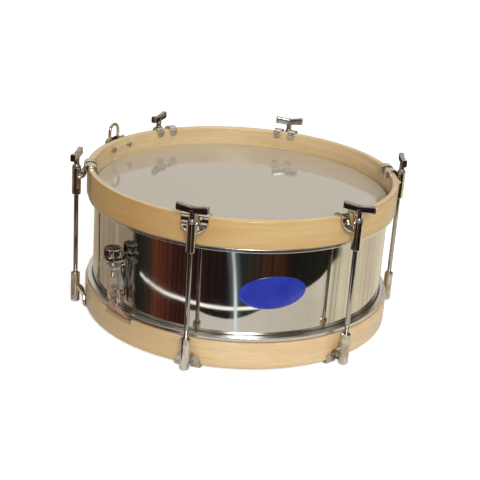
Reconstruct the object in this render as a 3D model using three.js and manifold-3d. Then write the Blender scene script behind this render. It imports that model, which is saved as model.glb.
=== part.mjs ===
// Marching snare drum: steel shell, wooden hoops, claws and T-handled rods, screw strainer.
// Millimetres, +Z up, the drum's axis on Z, z = 0 where the lower claws stand.
// Angles are in degrees round the axis from the front (-Y), positive towards +X.
import * as THREE from 'three';
import { mergeVertices } from 'three/addons/utils/BufferGeometryUtils.js';
import Module from 'manifold-3d';

const wasm = await Module();
wasm.setup();

// Shell: radius outside, the bent edges that carry the heads, and the snare beds in the lower one
const shellRadius = 177.8;
const shellHeight = 127;
const shellWall = 1.2;
const edgeBend = 4;
const edgeFlange = 7;
const flangeDip = 3.5;
const bedDepth = 5;
const bedRamp = 32;
const bedFlat = 11.5;
const bedEnd = 18.5;

// Heads, flesh hoops and wooden hoops
const headFilm = 0.5;
const headInset = 23.9;
const fleshHeight = 5;
const fleshWall = 6.4;
const fleshCorner = 1.2;
const hoopHeight = 32.2;
const hoopWall = 8;
const hoopRound = 2.4;
const gateWidth = 54;
const gateDepth = 6.5;
const gateCorner = 2;

// Tension rods and claws
const rodCount = 6;
const firstRodAngle = -30;
const rodDiameter = 5.5;
const rodStandoff = 12.2;
const rodEndInset = 2;
const rodBoreGap = 0.35;
const tubeDiameter = 9.6;
const tubeReach = 37.3;
const tubeChamfer = 1.2;
const upperTubeDrop = 3.4;
const clawWall = 3;
const wingDrop = 17;
const wingSpan = 33;
const wingSlot = 6.4;
const fingerWidth = 9.5;
const fingerReach = 8.6;
const fingerTipTurn = 50;

// T-handles
const handleLength = 36;
const handleHeight = 7;
const handleThickness = 5.4;
const handleTipHeight = 8.6;
const handleTipThickness = 6.4;
const handleLift = 10.2;
const handleTipLift = 2;
const collarDiameter = 9;
const collarHeight = 1.8;
const neckDiameter = 6.6;
const rodSocketDepth = 3.2;

// Strainer: bracket, knob and screw, and the carriage that they raise
const strainerAngle = -57.1;
const sheetWall = 1.5;
const sheetBend = 2;
const bracketWidth = 20;
const bracketFoot = 48;
const bracketReach = 23;
const lowerScrewInset = 9;
const upperScrewInset = 12;
const screwAxisReach = 13.4;
const knobDiameter = 21;
const knobHeight = 10.6;
const knobChamfer = 1;
const knobFlutes = 18;
const knobFluteDepth = 0.45;
const knobBossDiameter = 11;
const knobBossHeight = 1.4;
const knobSocketDepth = 7;
const screwDiameter = 4;
const screwRunGap = 0.25;
const screwCollarDiameter = 5.4;
const screwCollarHeight = 1.6;
const screwTail = 12;
const carriageWidth = 18;
const carriageBottom = 50;
const carriageHeight = 47.5;
const carriageHeadroom = 6;
const carriageStandoff = 9.1;
const carriageTabReach = 9.6;
const carriageTabDrop = 2.5;
const guideTop = 88;
const guideBottom = 68;
const guideGap = 0.6;

// Butt: the fixed bracket opposite to the strainer, and the clamps that both carry
const buttTop = 98;
const buttShelf = 70;
const buttScrewInset = 7.5;
const clampHeight = 16;
const clampCorner = 1.5;
const clampScrewRise = 7;

// Snare strands
const strandCount = 10;
const strandDiameter = 1.1;
const strandPitch = 4.8;
const clampedPitch = 1.35;
const clampedMiddleGap = 5.8;
const strandStraight = 4;
const endBarHeight = 2.6;
const endBarWall = 1.4;
const endBarCorner = 0.8;

// Strap loop on the top hoop
const loopAngle = -127.9;
const loopWire = 3.8;
const loopWidth = 21.6;
const loopRise = 20.5;
const loopTail = 16;
const loopClampHeight = 20;
const loopClampRise = 1;
const loopClampWall = 1.6;
const loopClampEar = 7.6;
const loopScrewSpacing = 34;

// Small screws and nuts
const smallScrewDiameter = 3.6;
const panHeadDiameter = 7.2;
const panHeadHeight = 2.2;
const clampHeadDiameter = 8;
const nutHeight = 2.6;
const nutDiameter = 7.4;
const screwHoleGap = 0.3;
const screwEnd = 1;

// How the rods stand in this drum: the claws are only hooked over the hoops, so each
// sits a little off its even place, and each handle was left at a turn of its own
const rodDrift = [4.7, -1, 0.1, 2.2, -4.6, -1.4];
const handleTurn = [5, 60, 11, -14, -32, 12];

// Clearance between neighbours, overrun of cuts, and steps in a round
const fit = 0.3;
const overrun = 2;
const ringSteps = 48;
const tubeSteps = 10;
const smallSteps = 8;
const wireSteps = 8;

// Shares of their own sizes that give the claw's wings, the handle and the screw heads their curves
const wingShares = [[0.06, 1, -1.4, -0.8], [0.4, 0.8, -1.2, 0.3], [0.8, 0.55, -1.05, 0.85], [1, 0.3, -1, 1]];
const handleShares = [[-1, 1], [-0.5, 0.5], [0, 0], [0.5, 0.5], [1, 1]];
const handleCornerShare = 0.8;
const panRimShare = 0.5;
const panCrownShare = 0.6;

// Radii, heights and angles that follow
const degree = Math.PI / 180;
const ringFlatShare = Math.cos(Math.PI / ringSteps);
const ringTurn = (strainerAngle + 180 / ringSteps) * degree;
const headInner = shellRadius + fit;
const headOuter = headInner + headFilm;
const hoopInner = headOuter + fit;
const hoopOuter = hoopInner + hoopWall;
const rodCircle = hoopOuter + rodStandoff;
const shellBottom = clawWall + fit + headInset;
const middle = shellBottom + shellHeight / 2;
const shellEdge = shellHeight / 2;
const hoopEdge = shellEdge + headInset;
const hoopNear = hoopEdge - hoopHeight;
const hoopTop = middle + hoopEdge;
const fleshNear = hoopNear - fit;
const fleshFar = fleshNear - fleshHeight;
const fleshOuter = hoopInner + fleshWall;
const bendRadius = shellRadius - edgeBend;
const bedInnerRadius = bendRadius - bedRamp;
const shellInside = (shellRadius - shellWall) * ringFlatShare;
const hoopInside = hoopInner * ringFlatShare;
const plateBack = shellRadius + fit;
const plateFace = plateBack + sheetWall;
const screwAxis = plateBack + screwAxisReach;
const tongueBack = shellRadius + carriageStandoff;
const tongueFace = tongueBack + sheetWall;
const strandPlane = tongueFace + fit + endBarWall / 2;
const clampBack = strandPlane + endBarWall / 2 + fit;
const clampFace = clampBack + sheetWall;
const clampScrewHeight = carriageBottom + clampScrewRise;
const bracketTop = carriageBottom + carriageHeight + carriageHeadroom;
const knobBottom = bracketTop + fit + knobBossHeight;
const bracketScrews = [bracketFoot + lowerScrewInset, bracketTop - upperScrewInset];
const buttScrews = [buttShelf + buttScrewInset, buttTop - buttScrewInset];

const drum = new THREE.Group();

// Materials

function material(color, roughness, metalness) {
  return new THREE.MeshStandardMaterial({ color, roughness, metalness });
}

const polishedSteel = material(0xc9c6c0, 0.06, 1);
const chrome = material(0xb9b4ae, 0.12, 1);
const darkChrome = material(0x6d6864, 0.22, 1);
const brightAluminium = material(0xcfcdca, 0.25, 1);
const varnishedWood = material(0xd2a76b, 0.3, 0);
const hazyFilm = material(0xbcb3a2, 0.2, 0);
const twistedCord = material(0xb98f82, 0.6, 0);

// Closed geometry: shared corners, no empty faces, faces pointing out

function closed(source) {
  const bare = source.clone();
  bare.deleteAttribute('normal');
  bare.deleteAttribute('uv');
  const merged = mergeVertices(bare);
  const place = merged.getAttribute('position');
  const corner = (i) => new THREE.Vector3().fromBufferAttribute(place, i);
  const faces = [];
  let volume = 0;
  for (let i = 0; i < merged.index.count; i += 3) {
    const face = [0, 1, 2].map((k) => merged.index.getX(i + k));
    if (new Set(face).size === 3) {
      const [a, b, c] = face.map(corner);
      faces.push(face);
      volume += a.dot(b.cross(c));
    }
  }
  merged.setIndex(faces.flatMap(([a, b, c]) => (volume < 0 ? [a, c, b] : [a, b, c])));
  return merged;
}

function toSolid(geometry) {
  const merged = closed(geometry);
  return new wasm.Manifold(new wasm.Mesh({
    numProp: 3,
    vertProperties: new Float32Array(merged.getAttribute('position').array),
    triVerts: new Uint32Array(merged.index.array),
  }));
}

function toGeometry(solid) {
  const { vertProperties, triVerts } = solid.getMesh();
  const geometry = new THREE.BufferGeometry();
  geometry.setAttribute('position', new THREE.BufferAttribute(vertProperties, 3));
  geometry.setIndex(new THREE.BufferAttribute(triVerts, 1));
  return geometry;
}

function join(geometries) {
  return toGeometry(geometries.map(toSolid).reduce((sum, next) => sum.add(next)));
}

function cut(geometry, tools) {
  return toGeometry(tools.map(toSolid).reduce((rest, tool) => rest.subtract(tool), toSolid(geometry)));
}

// Shapes: turned rings, bent sheet, flat plates, lofts and tubes.
// A place across, outward and up from the drum's axis is (x, -y, z).

const right = new THREE.Vector3(1, 0, 0);
const outward = new THREE.Vector3(0, -1, 0);
const up = new THREE.Vector3(0, 0, 1);

function arc([u, v], radius, from, to, steps) {
  return Array.from({ length: steps + 1 }, (_, i) => {
    const angle = (from + ((to - from) * i) / steps) * degree;
    return [u + radius * Math.cos(angle), v + radius * Math.sin(angle)];
  });
}

function mirrored(outline) {
  return outline.map(([radius, height]) => [radius, -height]);
}

function outlineShape(outline) {
  return new THREE.Shape(outline.map(([u, v]) => new THREE.Vector2(u, v)));
}

function turn(outline, steps) {
  const points = outline.map(([radius, height]) => new THREE.Vector2(radius, height));
  if (points[0].x > 0) points.push(points[0].clone());
  return closed(new THREE.LatheGeometry(points, steps).rotateX(Math.PI / 2));
}

function ring(outline) {
  return turn(outline, ringSteps).rotateZ(ringTurn);
}

function slab(shape, thickness, axes) {
  const geometry = new THREE.ExtrudeGeometry(shape, { depth: thickness, bevelEnabled: false });
  geometry.translate(0, 0, -thickness / 2);
  return closed(geometry.applyMatrix4(new THREE.Matrix4().makeBasis(...axes)));
}

// Sheet bent along its width: the outline's points are [outward, up]
function bentSheet(outline, width) {
  return slab(outlineShape(outline), width, [outward, up, right]);
}

// Flat plate that faces outward: the outline's points are [across, up]
function facingPlate(outline, from, to) {
  return slab(outlineShape(outline), to - from, [right, up, outward]).translate(0, -(from + to) / 2, 0);
}

function roundedRect(width, low, high, radius) {
  const side = width / 2 - radius;
  return [
    ...arc([side, low + radius], radius, -90, 0, 2),
    ...arc([side, high - radius], radius, 0, 90, 2),
    ...arc([-side, high - radius], radius, 90, 180, 2),
    ...arc([-side, low + radius], radius, 180, 270, 2),
  ];
}

// Round pin or hole along the outward direction
function radialPin(diameter, from, to, across, height) {
  const pin = new THREE.CylinderGeometry(diameter / 2, diameter / 2, to - from, smallSteps);
  return closed(pin.translate(across, -(from + to) / 2, height));
}

// Round pin or hole that stands upright, at a reach out from the drum's axis
function uprightPin(diameter, low, high, reach, steps) {
  const pin = new THREE.CylinderGeometry(diameter / 2, diameter / 2, high - low, steps);
  return closed(pin.rotateX(Math.PI / 2).translate(0, -reach, (low + high) / 2));
}

function loft(sections) {
  const count = sections[0].length;
  const last = (sections.length - 1) * count;
  const faces = [];
  for (let first = 0; first < last; first += count) {
    for (let i = 0; i < count; i += 1) {
      const a = first + i;
      const b = first + ((i + 1) % count);
      faces.push(a, b, a + count, b, b + count, a + count);
    }
  }
  for (let i = 1; i + 1 < count; i += 1) {
    faces.push(0, i + 1, i, last, last + i, last + i + 1);
  }
  const places = sections.flat().flatMap((point) => point.toArray());
  const geometry = new THREE.BufferGeometry();
  geometry.setAttribute('position', new THREE.Float32BufferAttribute(places, 3));
  geometry.setIndex(faces);
  return closed(geometry);
}

// Tube along a path of stations, with the given direction always across its section
function tube(stations, diameter, sides, side) {
  return loft(stations.map((station, i) => {
    const before = stations[Math.max(i - 1, 0)];
    const after = stations[Math.min(i + 1, stations.length - 1)];
    const along = new THREE.Vector3().subVectors(after, before).normalize();
    const across = side.clone().addScaledVector(along, -side.dot(along)).normalize();
    const through = new THREE.Vector3().crossVectors(along, across);
    return arc([0, 0], diameter / 2, 0, 360 - 360 / sides, sides - 1)
      .map(([u, v]) => station.clone().addScaledVector(across, u).addScaledVector(through, v));
  }));
}

// Adds a named piece at an angle round the drum and at a height
function add(name, geometry, look, angle = 0, height = 0) {
  const piece = new THREE.Mesh(geometry, look);
  piece.name = name;
  const station = new THREE.Group();
  station.rotation.z = angle * degree;
  station.position.z = height;
  station.add(piece);
  drum.add(station);
  return piece;
}

// Snare beds: the lower edge, and the film on it, rise where the strands come in

const bedAngles = [strainerAngle, strainerAngle + 180];

function bedLift(x, y) {
  const angle = Math.atan2(x, -y) / degree;
  const share = Math.max(...bedAngles.map((bed) => {
    const away = Math.abs(((angle - bed + 540) % 360) - 180);
    return THREE.MathUtils.clamp((bedEnd - away) / (bedEnd - bedFlat), 0, 1);
  }));
  const rampShare = (Math.hypot(x, y) - bedInnerRadius) / bedRamp;
  return bedDepth * share * THREE.MathUtils.clamp(rampShare, 0, 1);
}

function withBeds(geometry) {
  const place = geometry.getAttribute('position');
  const bendEnd = edgeBend + shellWall - shellEdge;
  for (let i = 0; i < place.count; i += 1) {
    const z = place.getZ(i);
    if (z < bendEnd) place.setZ(i, z + bedLift(place.getX(i), place.getY(i)));
  }
  return geometry;
}

// Shell: rolled sheet with both edges bent in, and holes for the two brackets' screws

function shellOutline() {
  const bend = [bendRadius, shellEdge - edgeBend];
  const tip = [bendRadius - edgeFlange, shellEdge - flangeDip];
  return [
    ...arc(bend, edgeBend, 0, 90, 2),
    tip,
    [tip[0], tip[1] - shellWall],
    ...arc(bend, edgeBend - shellWall, 90, 0, 1),
  ];
}

function shell() {
  const outline = shellOutline();
  const body = withBeds(ring([...outline, ...mirrored(outline).reverse()]));
  const places = [
    ...bracketScrews.map((height) => [strainerAngle, height]),
    ...buttScrews.map((height) => [strainerAngle + 180, height]),
  ];
  return cut(body, places.map(([angle, height]) => radialPin(
    smallScrewDiameter + 2 * screwHoleGap,
    shellInside - overrun,
    shellRadius + overrun,
    0,
    height - middle,
  ).rotateZ(angle * degree)));
}

// Heads: film drawn over the edge of the shell and down into the flesh hoop

function headOutline(rampRadii) {
  const bend = [bendRadius, shellEdge - edgeBend];
  const under = arc(bend, edgeBend + fit, 90, 0, 2);
  const over = arc(bend, edgeBend + fit + headFilm, 0, 90, 2);
  const underside = under[0][1];
  const topside = underside + headFilm;
  return [
    [0, underside],
    ...rampRadii.map((radius) => [radius, underside]),
    ...under,
    [headInner, fleshFar],
    [headOuter, fleshFar],
    ...over,
    ...rampRadii.map((radius) => [radius, topside]),
    [0, topside],
  ];
}

// Flesh hoop: the bright ring that holds the film's edge and that the wooden hoop draws down

function fleshHoopOutline() {
  return [
    [hoopInner, fleshFar],
    [fleshOuter - fleshCorner, fleshFar],
    [fleshOuter, fleshFar + fleshCorner],
    [fleshOuter, fleshNear - fleshCorner],
    [fleshOuter - fleshCorner, fleshNear],
    [hoopInner, fleshNear],
  ];
}

// Wooden hoops: bent ply with a rounded free edge. The bottom one has a gate for the strands
// at each snare bed, and the top one has the holes for the strap loop's screws.

function woodenHoopOutline() {
  const roundHeight = hoopEdge - hoopRound;
  return [
    [hoopInner, hoopNear],
    [hoopOuter, hoopNear],
    ...arc([hoopOuter - hoopRound, roundHeight], hoopRound, 0, 90, 2),
    ...arc([hoopInner + hoopRound, roundHeight], hoopRound, 90, 180, 1),
  ];
}

function gateCut(angle) {
  const outline = roundedRect(gateWidth, -hoopNear - gateDepth, overrun - hoopNear, gateCorner);
  const inner = Math.sqrt(hoopInner ** 2 - (gateWidth / 2) ** 2) - overrun;
  return facingPlate(outline, inner, hoopOuter + overrun).rotateZ(angle * degree);
}

const loopClampTop = hoopTop + loopClampRise;
const loopScrewHeight = loopClampTop - loopClampHeight / 2;

function loopScrewHole(side) {
  return radialPin(
    smallScrewDiameter + 2 * screwHoleGap,
    hoopInner - 2 * overrun,
    hoopOuter + overrun,
    (side * loopScrewSpacing) / 2,
    loopScrewHeight - middle,
  ).rotateZ(loopAngle * degree);
}

const bottomHoop = cut(ring(mirrored(woodenHoopOutline())), bedAngles.map(gateCut));
const topHoop = cut(ring(woodenHoopOutline()), [-1, 1].map(loopScrewHole));

add('shell', shell(), polishedSteel, 0, middle);
add('top_head', ring(headOutline([])), hazyFilm, 0, middle);
add('bottom_head', withBeds(ring(mirrored(headOutline([bedInnerRadius])))), hazyFilm, 0, middle);
add('top_flesh_hoop', ring(fleshHoopOutline()), brightAluminium, 0, middle);
add('bottom_flesh_hoop', ring(mirrored(fleshHoopOutline())), brightAluminium, 0, middle);
add('top_wooden_hoop', topHoop, varnishedWood, 0, middle);
add('bottom_wooden_hoop', bottomHoop, varnishedWood, 0, middle);

// Claw: a tube for the rod, from which two wings spread to the hoop's face and end in fingers
// that hook over its edge. One form serves top and bottom; the upper tube ends lower, to
// leave room for the handle.

const fingerSpread = (wingSpan + wingSlot) / 4;
const wingHalf = (wingSpan - wingSlot) / 4;

// Each station is [radius, height, near edge, far edge], the edges measured from the finger's middle
function fingerStations() {
  const face = hoopOuter + fit + clawWall / 2;
  const inside = hoopInside - fit - clawWall / 2;
  const over = hoopEdge + fit + clawWall / 2;
  const corner = hoopRound + clawWall / 2;
  const tipHeight = hoopEdge - fingerReach + fingerWidth / 2;
  const wing = wingShares.map(([inShare, dropShare, nearShare, farShare]) => [
    THREE.MathUtils.lerp(rodCircle, face, inShare),
    hoopEdge - wingDrop * dropShare,
    wingHalf * nearShare,
    wingHalf * farShare,
  ]);
  const hook = [
    ...arc([face - corner, over - corner], corner, 0, 90, 2),
    ...arc([inside + corner, over - corner], corner, 90, 180, 2),
  ].map(([radius, height], i, all) => {
    const half = THREE.MathUtils.lerp(wingHalf, fingerWidth / 2, i / (all.length - 1));
    return [radius, height, -half, half];
  });
  const tip = [0, fingerTipTurn].map((angle) => {
    const half = (fingerWidth / 2) * Math.cos(angle * degree);
    return [inside, tipHeight - (fingerWidth / 2) * Math.sin(angle * degree), -half, half];
  });
  return [...wing, ...hook, ...tip];
}

// Direction across a path's corner, long enough to keep the faces parallel to the path
function mitre(before, point, after) {
  const into = new THREE.Vector2(point[0] - before[0], point[1] - before[1]);
  const out = new THREE.Vector2(after[0] - point[0], after[1] - point[1]);
  if (into.length() === 0) into.copy(out);
  if (out.length() === 0) out.copy(into);
  const along = into.normalize().clone().add(out.normalize()).normalize();
  return [-along.y, along.x].map((part) => part / along.dot(into));
}

function finger() {
  const stations = fingerStations();
  return loft(stations.map((station, i) => {
    const [radius, height, near, far] = station;
    const before = stations[Math.max(i - 1, 0)];
    const after = stations[Math.min(i + 1, stations.length - 1)];
    const [outShare, upShare] = mitre(before, station, after);
    return [[near, -1], [far, -1], [far, 1], [near, 1]].map(([across, face]) => new THREE.Vector3(
      across,
      -(radius + (face * outShare * clawWall) / 2),
      height + (face * upShare * clawWall) / 2,
    ));
  })).rotateZ(Math.atan(fingerSpread / hoopOuter));
}

function claw(tubeDrop) {
  const far = hoopEdge - tubeReach;
  const near = hoopEdge - tubeDrop;
  const radius = tubeDiameter / 2;
  const barrel = turn([
    [0, far],
    [radius - tubeChamfer, far],
    [radius, far + tubeChamfer],
    [radius, near],
    [0, near],
  ], tubeSteps).translate(0, -rodCircle, 0);
  const bore = uprightPin(
    rodDiameter + 2 * rodBoreGap,
    far - overrun,
    near + overrun,
    rodCircle,
    smallSteps,
  );
  return cut(join([barrel, finger(), finger().scale(-1, 1, 1)]), [bore]);
}

// T-handle: a bar with two raised wings on a neck whose collar bears on the claw's tube,
// and the rod that is fixed in it

const collarBase = hoopEdge - upperTubeDrop + fit;

function handleStem() {
  const socket = rodDiameter / 2 + fit;
  const barHeight = hoopEdge + handleLift;
  return turn([
    [0, collarBase + rodSocketDepth],
    [socket, collarBase + rodSocketDepth],
    [socket, collarBase],
    [collarDiameter / 2, collarBase],
    [collarDiameter / 2, collarBase + collarHeight],
    [neckDiameter / 2, collarBase + 2 * collarHeight],
    [neckDiameter / 2, barHeight],
    [0, barHeight],
  ], smallSteps);
}

function handleBar() {
  const corner = handleCornerShare;
  const octagonShares = [
    [-1, -corner], [-corner, -1], [corner, -1], [1, -corner],
    [1, corner], [corner, 1], [-corner, 1], [-1, corner],
  ];
  return loft(handleShares.map(([alongShare, liftShare]) => {
    const tall = THREE.MathUtils.lerp(handleHeight, handleTipHeight, liftShare);
    const thick = THREE.MathUtils.lerp(handleThickness, handleTipThickness, liftShare);
    return octagonShares.map(([acrossShare, upShare]) => new THREE.Vector3(
      (alongShare * handleLength) / 2,
      (acrossShare * thick) / 2,
      hoopEdge + handleLift + handleTipLift * liftShare + (upShare * tall) / 2,
    ));
  }));
}

const upperClaw = claw(upperTubeDrop);
const lowerClaw = claw(0).rotateY(Math.PI);
const tHandle = join([handleStem(), handleBar()]);
const rodTop = collarBase + rodSocketDepth - fit;
const tensionRod = uprightPin(rodDiameter, rodEndInset - hoopEdge, rodTop, 0, tubeSteps);

for (let i = 0; i < rodCount; i += 1) {
  const angle = firstRodAngle + (i * 360) / rodCount + rodDrift[i];
  add(`upper_claw_${i + 1}`, upperClaw, chrome, angle, middle);
  add(`lower_claw_${i + 1}`, lowerClaw, chrome, angle, middle);
  add(`tension_rod_${i + 1}`, tensionRod, chrome, angle, middle).position.y = -rodCircle;
  const handle = add(`t_handle_${i + 1}`, tHandle, darkChrome, angle, middle);
  handle.position.y = -rodCircle;
  handle.rotation.z = -handleTurn[i] * degree;
}

// Pan-head screw and nut, along the outward direction, the head just off the face it holds

function panScrew(face, end, headDiameter, across, height) {
  const base = face + fit;
  const radius = headDiameter / 2;
  const head = turn([
    [0, 0],
    [radius, 0],
    [radius, panHeadHeight * panRimShare],
    [radius * panCrownShare, panHeadHeight],
    [0, panHeadHeight],
  ], smallSteps).rotateX(Math.PI / 2).translate(across, -base, height);
  const shank = radialPin(smallScrewDiameter, end, base + panHeadHeight / 2, across, height);
  return join([head, shank]);
}

function nut(face, across, height) {
  const from = face - fit - nutHeight;
  const body = new THREE.CylinderGeometry(nutDiameter / 2, nutDiameter / 2, nutHeight, 6);
  body.translate(across, -(from + nutHeight / 2), height);
  const hole = radialPin(
    smallScrewDiameter + 2 * screwHoleGap,
    from - overrun,
    face + overrun,
    across,
    height,
  );
  return cut(body, [hole]);
}

function addBracketScrews(bracket, heights, angle) {
  const end = shellInside - fit - nutHeight - screwEnd;
  heights.forEach((height, i) => {
    const screw = panScrew(plateFace, end, panHeadDiameter, 0, height);
    add(`${bracket}_screw_${i + 1}`, screw, chrome, angle);
    add(`${bracket}_nut_${i + 1}`, nut(shellInside, 0, height), chrome, angle);
  });
}

function bracketHole(height) {
  return radialPin(
    smallScrewDiameter + 2 * screwHoleGap,
    plateBack - overrun,
    plateFace + overrun,
    0,
    height,
  );
}

// Strainer bracket: bent sheet on the shell, whose top flange carries the screw

function strainerBracket() {
  const corner = [plateBack + sheetBend, bracketTop - sheetBend];
  const sheet = bentSheet([
    [plateFace, bracketFoot],
    [plateFace, bracketTop - sheetWall],
    [plateBack + bracketReach, bracketTop - sheetWall],
    [plateBack + bracketReach, bracketTop],
    ...arc(corner, sheetBend, 90, 180, 2),
    [plateBack, bracketFoot],
  ], bracketWidth);
  const screwHole = uprightPin(
    screwDiameter + 2 * screwRunGap,
    bracketTop - sheetWall - overrun,
    bracketTop + overrun,
    screwAxis,
    tubeSteps,
  );
  return cut(sheet, [screwHole, ...bracketScrews.map(bracketHole)]);
}

// Knob with a fluted rim, and the screw that turns with it

function strainerKnob() {
  const outline = Array.from({ length: 2 * knobFlutes }, (_, i) => {
    const radius = knobDiameter / 2 - (i % 2) * knobFluteDepth;
    const angle = (i * Math.PI) / knobFlutes;
    return [radius * Math.cos(angle), radius * Math.sin(angle)];
  });
  const rim = new THREE.ExtrudeGeometry(outlineShape(outline), {
    depth: knobHeight - 2 * knobChamfer,
    bevelThickness: knobChamfer,
    bevelSize: knobChamfer,
    bevelOffset: -knobChamfer,
    bevelSegments: 1,
  }).translate(0, -screwAxis, knobBottom + knobChamfer);
  const boss = uprightPin(
    knobBossDiameter,
    bracketTop + fit,
    knobBottom + knobChamfer,
    screwAxis,
    tubeSteps,
  );
  const socket = uprightPin(
    screwDiameter + 2 * screwRunGap,
    bracketTop - overrun,
    knobBottom + knobSocketDepth,
    screwAxis,
    tubeSteps,
  );
  return cut(join([rim, boss]), [socket]);
}

const tabTop = carriageBottom + carriageHeight - carriageTabDrop;
const tabBottom = tabTop - 2 * sheetWall;

function strainerScrew() {
  const flangeUnderside = bracketTop - sheetWall;
  return join([
    uprightPin(
      screwDiameter,
      tabBottom - screwTail,
      knobBottom + knobSocketDepth - fit,
      screwAxis,
      tubeSteps,
    ),
    uprightPin(
      screwCollarDiameter,
      flangeUnderside - fit - screwCollarHeight,
      flangeUnderside - fit,
      screwAxis,
      tubeSteps,
    ),
  ]);
}

// Carriage: the plate that the strands are clamped to, its threaded tab, and the two side
// guides that keep it square to the bracket

function strainerCarriage() {
  const top = carriageBottom + carriageHeight;
  const plate = bentSheet([
    [tongueBack, carriageBottom],
    [tongueFace, carriageBottom],
    [tongueFace, tabBottom],
    [tongueFace + carriageTabReach, tabBottom],
    [tongueFace + carriageTabReach, tabTop],
    [tongueFace, tabTop],
    [tongueFace, top],
    [tongueBack, top],
  ], carriageWidth);
  const guide = bentSheet([
    [tongueBack + sheetWall / 2, guideTop],
    [tongueBack, guideTop],
    [plateFace + guideGap, guideBottom],
    [tongueBack + sheetWall / 2, guideBottom],
  ], sheetWall);
  const guides = [-1, 1].map((side) => guide.clone()
    .translate((side * (carriageWidth - sheetWall)) / 2, 0, 0));
  const thread = uprightPin(
    screwDiameter + 2 * screwRunGap,
    tabBottom - overrun,
    tabTop + overrun,
    screwAxis,
    tubeSteps,
  );
  return cut(join([plate, ...guides]), [thread, clampHole(tongueBack, tongueFace)]);
}

// Clamp on the ends of the strands: plate, centre screw and nut

function clampHole(back, face) {
  return radialPin(
    smallScrewDiameter + 2 * screwHoleGap,
    back - overrun,
    face + overrun,
    0,
    clampScrewHeight,
  );
}

function addClamp(owner, angle) {
  const outline = roundedRect(carriageWidth, carriageBottom, carriageBottom + clampHeight, clampCorner);
  const plate = cut(facingPlate(outline, clampBack, clampFace), [clampHole(clampBack, clampFace)]);
  const end = tongueBack - fit - nutHeight - screwEnd / 2;
  const screw = panScrew(clampFace, end, clampHeadDiameter, 0, clampScrewHeight);
  add(`${owner}_clamp_plate`, plate, chrome, angle);
  add(`${owner}_clamp_screw`, screw, chrome, angle);
  add(`${owner}_clamp_nut`, nut(tongueBack, 0, clampScrewHeight), chrome, angle);
}

// Butt bracket: foot on the shell, shelf outward, and a tongue down behind the strands

function buttBracket() {
  const sheet = bentSheet([
    [plateBack, buttTop],
    [plateBack, buttShelf - sheetWall],
    [tongueBack, buttShelf - sheetWall],
    [tongueBack, carriageBottom],
    [tongueFace, carriageBottom],
    [tongueFace, buttShelf - sheetWall / 2],
    [tongueFace - sheetWall / 2, buttShelf],
    [plateFace, buttShelf],
    [plateFace, buttTop],
  ], bracketWidth);
  return cut(sheet, [clampHole(tongueBack, tongueFace), ...buttScrews.map(bracketHole)]);
}

add('strainer_bracket', strainerBracket(), chrome, strainerAngle);
addBracketScrews('strainer', bracketScrews, strainerAngle);
add('strainer_knob', strainerKnob(), chrome, strainerAngle);
add('strainer_adjusting_screw', strainerScrew(), chrome, strainerAngle);
add('strainer_carriage', strainerCarriage(), chrome, strainerAngle);
addClamp('strainer', strainerAngle);
add('butt_bracket', buttBracket(), chrome, strainerAngle + 180);
addBracketScrews('butt', buttScrews, strainerAngle + 180);
addClamp('butt', strainerAngle + 180);

// Snare strands: clamped close together, they fan out past the flesh hoop's corner, turn in
// round the snare bed and run under the bottom head to the other side. An end bar joins
// them behind each clamp.

const strandClear = fit + strandDiameter / 2;
const endBarTop = carriageBottom + clampHeight - fit;

function strandHalf(clampedAcross, across) {
  const bed = [bendRadius, shellBottom + bedDepth + edgeBend];
  const flat = shellBottom - fit - headFilm - strandClear;
  const corner = [fleshOuter + strandClear, middle - fleshNear - strandClear];
  const fanShare = (carriageBottom - corner[1]) / (carriageBottom - bed[1]);
  const turned = arc(bed, edgeBend + fit + headFilm + strandClear, -35, -90, 2);
  return [
    [clampedAcross, strandPlane, endBarTop - endBarHeight / 2],
    [clampedAcross, strandPlane, carriageBottom - strandStraight],
    [THREE.MathUtils.lerp(clampedAcross, across, Math.min(fanShare, 1)), ...corner],
    ...turned.map(([reach, height]) => [across, reach, height]),
    [across, bedInnerRadius, flat],
  ].map(([x, reach, height], i) => new THREE.Vector3(
    x,
    i < 2 ? -reach : -Math.sqrt(reach ** 2 - x ** 2),
    height,
  ));
}

function strand(clampedAcross, across) {
  const near = strandHalf(clampedAcross, across);
  const far = strandHalf(-clampedAcross, -across).reverse();
  const turned = far.map((point) => point.applyAxisAngle(up, Math.PI));
  return tube([...near, ...turned], strandDiameter, 5, right);
}

function endBar(turned) {
  const outline = roundedRect(carriageWidth, endBarTop - endBarHeight, endBarTop, endBarCorner);
  const bar = facingPlate(outline, strandPlane - endBarWall / 2, strandPlane + endBarWall / 2);
  return bar.rotateZ(turned);
}

function snareStrands() {
  const strands = Array.from({ length: strandCount }, (_, i) => {
    const place = i - (strandCount - 1) / 2;
    const side = Math.sign(place);
    const clampedAcross = (side * clampedMiddleGap) / 2 + (place - side / 2) * clampedPitch;
    return strand(clampedAcross, place * strandPitch);
  });
  return join([...strands, endBar(0), endBar(Math.PI)]);
}

add('snare_strands', snareStrands(), twistedCord, strainerAngle);

// Strap loop: a bent wire held against the hoop's face by a pressed clamp with two ears

const loopReach = hoopOuter + fit + loopWire / 2;
const loopLeg = (loopWidth - loopWire) / 2;
const loopEar = loopLeg + loopWire / 2 + fit + loopClampWall;
const earBack = Math.sqrt(hoopOuter ** 2 - loopEar ** 2) + fit;

function strapLoop() {
  const archHeight = hoopTop + loopRise - loopWire / 2 - loopLeg;
  const low = loopClampTop - loopTail;
  const stations = [
    [-loopLeg, low],
    ...arc([0, archHeight], loopLeg, 180, 0, 10),
    [loopLeg, low],
  ];
  return tube(
    stations.map(([across, height]) => new THREE.Vector3(across, -loopReach, height)),
    loopWire,
    wireSteps,
    outward,
  );
}

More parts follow.
